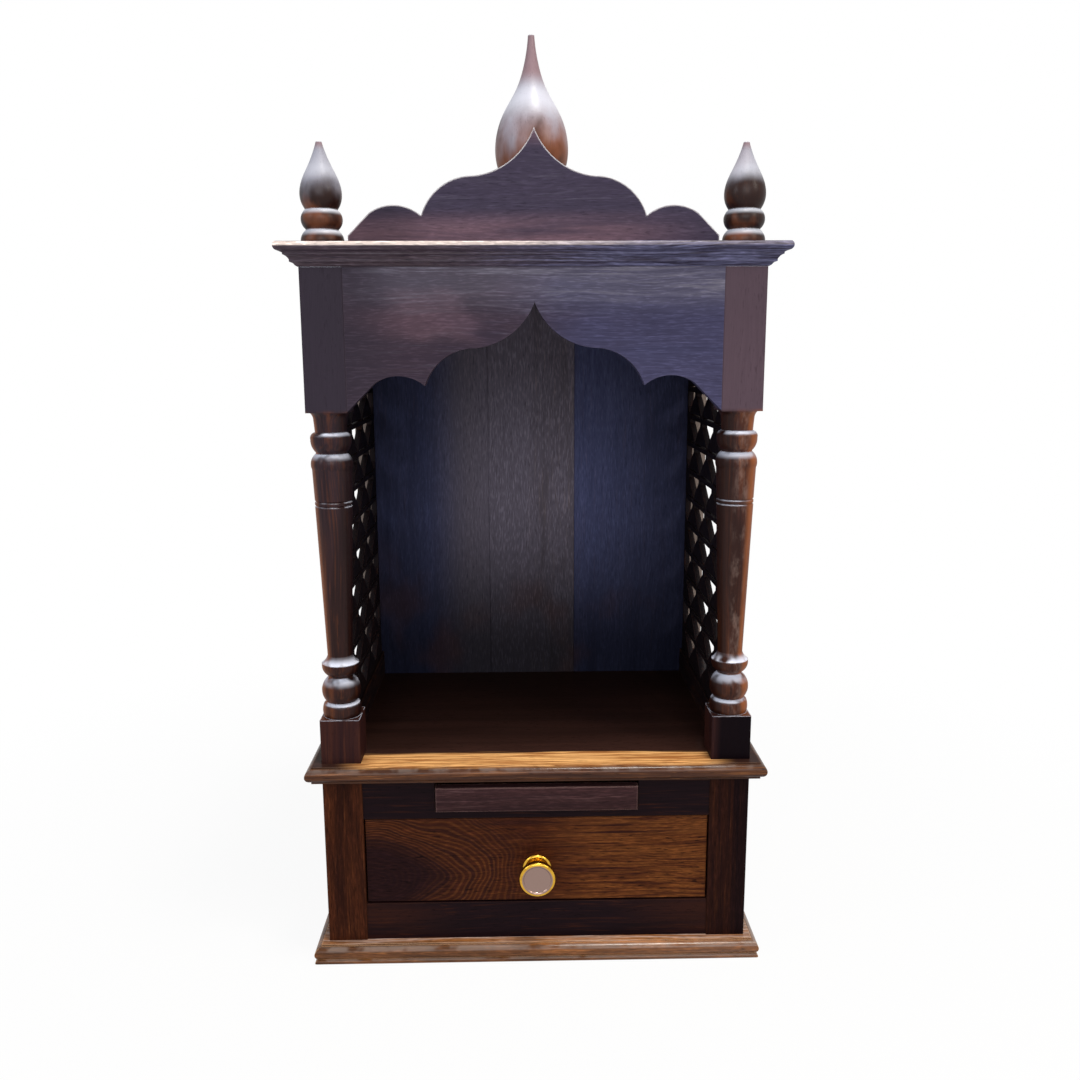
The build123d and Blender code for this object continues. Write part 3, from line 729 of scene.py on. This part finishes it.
class TEMPLE_OT_drawer(bpy.types.Operator):
    """Finish the drawer and its brass knob"""

    bl_idname = "temple.drawer"
    bl_label = "Drawer"

    def execute(self, context):
        w = woods()
        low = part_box("drawer_front")[0]
        (heart_x, heart_z) = (low[0] + 8 * MM, low[2] + 20 * MM)
        (stretch, sway_reach, round_rate, fine_rate) = (0.3, 30 * MM, 620, 2600)

        def zones(f, axes, tone, lines, bands):
            """Cathedral figure: arches round a dark heart at the lower left."""
            (across, up) = (axes[X] - heart_x, axes[Z] - heart_z)
            arch = f.maths("SQRT", across * across * stretch + up * up)
            sway = f.noise(f.metres(), CLOUD, 1.0)
            arch = arch + (sway - MIDDLE) * sway_reach
            rounds = f.maths("SINE", arch * round_rate)
            near = f.step(arch, 85 * MM, 45 * MM)
            tone = f.mix(near * 0.65, tone, f.mix(0.45, w.drawer, w.drawer_dark))
            tone = f.mix(f.step(rounds, 0.0, 1.0) * (near * 0.4 + 0.05), tone, w.drawer_dark)
            fine = f.step(f.maths("SINE", arch * fine_rate), -0.2, 0.9) * (bands + 0.3)
            tone = f.mix(fine * near * 0.34, tone, w.drawer_light)
            heart = f.step(arch, 46 * MM, 24 * MM)
            tone = f.mix(heart * 0.93, tone, w.drawer_dark)
            warm = f.step(axes[X], -10 * MM, 60 * MM) * f.step(lines, 0.35, 0.6) * 0.55
            return (f.mix(warm, tone, w.drawer_light), 0.02)

        front = wood(
            "drawer_front_wood", (w.drawer, w.drawer_light, w.drawer_dark), X,
            seed=0.45, rings=0.1, streak=0.4, pith=(0.0, 0.0, 0.02), pores=0.9, fleck=0.5,
            zones=zones,
        )
        dress(["drawer_front"], front)
        boards = wood(
            "drawer_board_wood", (w.inner, w.inner_light, w.post), Y,
            seed=0.15, rings=0.3, pith=(0.1, 0.0, 0.1), rough=0.6, coat=0.0,
        )
        dress(both("drawer_side") + ["drawer_bottom"], boards)
        back = wood(
            "drawer_back_wood", (w.inner, w.inner_light, w.post), X,
            seed=0.75, rings=0.3, pith=(0.0, 0.1, 0.1), rough=0.6, coat=0.0,
        )
        dress(["drawer_back"], back)

        (knob_low, knob_high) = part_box("knob")
        centre = [(a + b) / 2 for (a, b) in zip(knob_low, knob_high)]
        dress(["knob"], brass("knob_brass", centre, knob_low[1]))
        dress(["knob_rose"], brass("rose_brass", centre, None))
        return {"FINISHED"}


def brass(name, centre, face):
    """Lacquered brass, with a mirror face where face gives its level."""
    w = woods()
    f = Finish(bpy.data.materials.new(name))
    where = f.metres()
    axes = f.split(where)
    (across, up) = (axes[X] - centre[0], axes[Z] - centre[2])
    radius = f.distance(across, up)
    turning = f.noise(where, LATHE_MARKS, 3.0)
    lathe = f.maths("SINE", radius * LATHE_RATE + turning * 2)
    tone = f.mix(f.step(turning, 0.35, 0.75) * 0.4, w.brass, w.brass_dark)
    if face is not None:
        inside = f.step(radius, 12.9 * MM, 12.3 * MM)
        flat = inside * f.step(axes[Y], face + 4 * MM, face + 2 * MM)
        tone = f.mix(flat, tone, w.brass_face)
    bump = f.node("ShaderNodeBump", None, {
        "Strength": 0.08, "Distance": 0.0002, "Height": lathe * 0.3 + turning})
    f.surface(f.node("ShaderNodeBsdfPrincipled", None, {
        "Base Color": tone, "Metallic": 1.0, "Roughness": 0.12 + turning * 0.16, "Normal": bump,
    }))
    return f.owner


class TEMPLE_OT_tray(bpy.types.Operator):
    """Finish the pull-out tray"""

    bl_idname = "temple.tray"
    bl_label = "Tray"

    def execute(self, context):
        w = woods()
        (low, high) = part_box("tray_front")

        def zones(f, axes, tone, lines, bands):
            """Darker towards the lower edge."""
            down = f.step(axes[Z], high[2], low[2], soft=False)
            return (f.shade(tone, 1.25 - down * 0.5), 0.06)

        # The pinkish chip along its edges is a painted highlight
        front = wood(
            "tray_wood", (w.tray, w.tray_light, w.tray_dark), X,
            seed=1.1, rings=0.2, streak=0.3, glint_share=0.6, glint="#C09A92", fleck=0.5, zones=zones,
        )
        dress(["tray_front"], front)
        board = wood(
            "tray_board_wood", brown(w), Y, seed=1.25, rings=0.4, pith=(0.05, 0.0, 0.12),
        )
        dress(["tray_board"], board)
        return {"FINISHED"}


class TEMPLE_OT_shrine(bpy.types.Operator):
    """Finish the back boards, the pierced side panels and their rails"""

    bl_idname = "temple.shrine"
    bl_label = "Shrine"

    def execute(self, context):
        w = woods()
        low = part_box("back_board_centre")[0]
        panel_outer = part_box("jali_panel_right")[1][0]

        def painted_shade(f, axes, tone, lines, bands):
            """Painted shade, darker towards the shelf and the sides; grey brown left of the middle
            board.
            """
            browner = f.step(axes[X], -110 * MM, -60 * MM) * f.step(axes[X], 10 * MM, -10 * MM)
            plain = f.mix(browner, tone, f.shade(w.back_centre, 0.8 + lines * 0.4))
            # Painted shade low down and at the sides, with a painted pool of light in the middle
            up = f.step(axes[Z], low[2] + 20 * MM, low[2] + 190 * MM)
            middle = f.step(abs(axes[X] - 5 * MM), 150 * MM, 30 * MM)
            plain = f.shade(plain, 0.18 + up * (0.28 + middle * 0.5))
            smudge = f.step(f.noise(f.metres(), SMUDGE, 3.0), MIDDLE, 0.66)
            smudge = smudge * f.step(axes[Z], low[2] + 190 * MM, low[2] + 60 * MM)
            plain = f.mix(smudge * 0.35, plain, w.shelf)
            # The front face past the panels is bare wood
            outside = f.step(abs(axes[X]), panel_outer, panel_outer + 0.5 * MM)
            outside = outside * f.step(axes[Y], low[1] + 1.5 * MM, low[1] + 0.5 * MM)
            return (f.mix(outside, plain, w.bare), 0.02)

        sides = wood(
            "back_wood", (w.back, w.back_light, w.back_dark), Z,
            seed=0.65, rings=0.08, streak=0.3, specular=0.03, glint_share=0.0, figure=0.25, pores=0.3,
            fleck=0.3, zones=painted_shade,
        )
        dress(both("back_board"), sides)
        middle = wood(
            "back_centre_wood", (w.back_centre, w.centre_light, w.centre_dark), Z,
            seed=0.95, rings=0.12, streak=0.4, specular=0.03, pores=0.4, glint_share=0.0, figure=0.3,
            fleck=0.5, zones=painted_shade,
        )
        dress(["back_board_centre"], middle)
        panels = wood(
            "panel_wood", (w.panel, w.post, w.panel_dark), Z,
            seed=0.85, rings=0.2, streak=0.3, specular=0.04, coat=0.03, glint_share=0.05,
        )
        dress(both("jali_panel"), panels)
        rails = wood(
            "side_rail_wood", (w.panel, w.post_light, w.post_dark), Y,
            seed=0.35, rings=0.25, coat=0.05,
        )
        dress(both("side_rail_bottom") + both("side_rail_top"), rails)
        return {"FINISHED"}


class TEMPLE_OT_finials(bpy.types.Operator):
    """Finish the finials on the roof"""

    bl_idname = "temple.finials"
    bl_label = "Finials"

    def execute(self, context):
        w = woods()
        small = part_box("finial_front_left")
        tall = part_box("finial_centre")

        def pale(low, high, rise, full, neck, warmth):
            """Warm below, a painted pale highlight and sky reflection from a share of the height,
            and mauve at the neck.
            """

            def zones(f, axes, tone, lines, bands):
                up = (axes[Z] - low[2]) / (high[2] - low[2])
                cloud = f.noise(f.metres(), FINIAL_CLOUD, 3.0)
                warm = f.step(cloud, 0.55 - warmth * 0.3, 0.72 - warmth * 0.1)
                warm = warm * (0.5 + warmth * 0.4)
                tone = f.mix(warm, tone, w.finial_warm)
                # Painted highlight and sky reflection over the upper part, a little stronger on
                # the left
                left = f.step(axes[X], 50 * MM, -50 * MM) * 0.1
                white = f.step(up + (cloud - MIDDLE) * 0.5 + left, rise, rise + 0.26) * full
                tone = f.mix(white, tone, w.finial_highlight)
                mauve = f.step(up, neck, neck + 0.1) * 0.85
                return (f.mix(mauve, tone, w.finial_neck), 0.35)

            return zones

        for (name, nodes, box, rise, full, neck, warmth) in (
            ("corner_finial_wood", both("finial_front"), small, 0.52, 0.72, 0.9, 0.15),
            ("centre_finial_wood", ["finial_centre"], tall, 0.5, 0.9, 0.74, 1.0),
        ):
            # The sheen paints pale blue white highlights on the upper faces of the beads
            finish = wood(
                name, (w.finial, w.post_light, w.post_dark), Z,
                seed=0.25, rings=0.0, streak=0.2, figure=0.15, gloss=0.35, glint_share=0.05,
                pores=0.2, sheen=1.0, pale="#E8ECF8", patch=0.1,
                zones=pale(*box, rise, full, neck, warmth),
            )
            dress(nodes, finish)
        return {"FINISHED"}


def soft_lamp(name, place, target, size, power, tone):
    """A rectangular lamp that points at the target."""
    data = bpy.data.lights.new(name, "AREA")
    data.shape = "RECTANGLE"
    (data.size, data.size_y) = size
    data.energy = power
    data.color = tone
    lamp = bpy.data.objects.new(name, data)
    lamp.location = place
    lamp.rotation_euler = (Vector(target) - Vector(place)).to_track_quat("-Z", "Y").to_euler()
    bpy.context.collection.objects.link(lamp)


def background_rays(f):
    """The rays that show the background white: to the eye, in gloss and through glass."""
    rays = f.node("ShaderNodeLightPath", out="Is Camera Ray")
    outputs = rays.socket.node.outputs
    for name in ("Is Glossy Ray", "Is Transmission Ray"):
        rays = f.maths("MAXIMUM", rays, Amount(f, outputs[name]))
    return rays


class TEMPLE_OT_stage(bpy.types.Operator):
    """Set the floor, the lamps and the camera"""

    bl_idname = "temple.stage"
    bl_label = "Stage"

    def execute(self, context):
        s = context.scene.temple_stage
        shape = bmesh.new()
        bmesh.ops.create_grid(shape, x_segments=1, y_segments=1, size=FLOOR_HALF)
        mesh = bpy.data.meshes.new("floor")
        shape.to_mesh(mesh)
        shape.free()
        floor = bpy.data.objects.new("floor", mesh)
        context.collection.objects.link(floor)
        f = Finish(bpy.data.materials.new("floor_paper"))
        seen = background_rays(f)
        (across, away, _) = f.split(f.metres())
        far = f.distance(across, away)
        white = f.step(far, *SHADOW_FADE) * (1 - SHADOW_WHITE) + SHADOW_WHITE
        paper = f.node("ShaderNodeBsdfPrincipled", None, {
            "Base Color": (0.8, 0.8, 0.8, 1), "Roughness": 0.9, "Specular IOR Level": 0.0})
        glow = f.node("ShaderNodeEmission", None, {"Color": (1, 1, 1, 1), "Strength": 1.0})
        f.surface(f.node("ShaderNodeMixShader", None, {0: seen * white, 1: paper, 2: glow}))
        mesh.materials.append(f.owner)

        world = bpy.data.worlds.new("studio")
        context.scene.world = world
        f = Finish(world)
        seen = background_rays(f)
        light = f.node("ShaderNodeBackground", None, {
            "Color": (0.92, 0.95, 1.0, 1), "Strength": s.sky})
        white = f.node("ShaderNodeBackground", None, {"Color": (1, 1, 1, 1), "Strength": 1.0})
        sky = f.node("ShaderNodeMixShader", None, {0: seen, 1: light, 2: white})
        f.node("ShaderNodeOutputWorld", None, {"Surface": sky})

        (middle, lower) = ((0, 0, 0.4), (0, -0.1, 0.2))
        for lamp in (
            ("lamp_right", (1.15, -0.95, 1.3), middle, (0.25, 0.5), s.right_lamp, (1, 0.93, 0.82)),
            ("lamp_left", (-1.3, -0.8, 1.1), middle, (0.3, 0.6), s.left_lamp, (0.86, 0.92, 1)),
            ("lamp_over", (0.3, -0.42, 2.3), lower, (0.5, 0.4), s.over_lamp, (1, 0.95, 0.88)),
            ("lamp_front", (0, -2.0, 1.15), middle, (1.4, 0.9), s.front_lamp, (0.97, 0.98, 1)),
        ):
            soft_lamp(*lamp)

        (turn, dip, roll) = (s.turn, s.dip, s.roll)
        right = Vector((math.cos(turn), -math.sin(turn), 0))
        level = Vector((math.sin(turn), math.cos(turn), 0))
        ahead = level * math.cos(dip) - UP * math.sin(dip)
        above = UP * math.cos(dip) + level * math.sin(dip)
        side = right * math.cos(roll) + above * math.sin(roll)
        crown = above * math.cos(roll) - right * math.sin(roll)
        data = bpy.data.cameras.new("camera")
        data.lens = s.lens / MM
        data.sensor_width = FRAME_WIDTH
        data.clip_start = 0.01
        camera = bpy.data.objects.new("camera", data)
        camera.matrix_world = Matrix.Translation(s.eye) @ Matrix(
            (side, crown, -ahead)).transposed().to_4x4()
        context.collection.objects.link(camera)
        context.scene.camera = camera
        context.scene.view_settings.view_transform = "Standard"
        return {"FINISHED"}


class TEMPLE_PT_panel(bpy.types.Panel):
    """The steps that finish the temple"""

    bl_idname = "TEMPLE_PT_panel"
    bl_label = "Home temple"
    bl_space_type = "VIEW_3D"
    bl_region_type = "UI"
    bl_category = "Temple"

    def draw(self, context):
        for step in STEPS:
            self.layout.operator(step.bl_idname)
        for settings in (context.scene.temple_woods, context.scene.temple_stage):
            for key in settings.bl_rna.properties.keys():
                if key not in ("rna_type", "name"):
                    self.layout.prop(settings, key)


STEPS = (
    TEMPLE_OT_columns,
    TEMPLE_OT_posts,
    TEMPLE_OT_arch,
    TEMPLE_OT_mouldings,
    TEMPLE_OT_box,
    TEMPLE_OT_drawer,
    TEMPLE_OT_tray,
    TEMPLE_OT_shrine,
    TEMPLE_OT_finials,
    TEMPLE_OT_stage,
)
CLASSES = (TempleWoods, TempleStage, *STEPS, TEMPLE_PT_panel)


def register():
    for item in CLASSES:
        bpy.utils.register_class(item)
    bpy.types.Scene.temple_woods = bpy.props.PointerProperty(type=TempleWoods)
    bpy.types.Scene.temple_stage = bpy.props.PointerProperty(type=TempleStage)


def unregister():
    del bpy.types.Scene.temple_stage
    del bpy.types.Scene.temple_woods
    for item in reversed(CLASSES):
        bpy.utils.unregister_class(item)


def plain(box):
    """A box as plain lists of numbers."""
    return [[float(v) for v in corner] for corner in box]


def main():
    register()
    for step in STEPS:
        (group, action) = step.bl_idname.split(".")
        getattr(getattr(bpy.ops, group), action)()


if __name__ == "__main__":
    main()
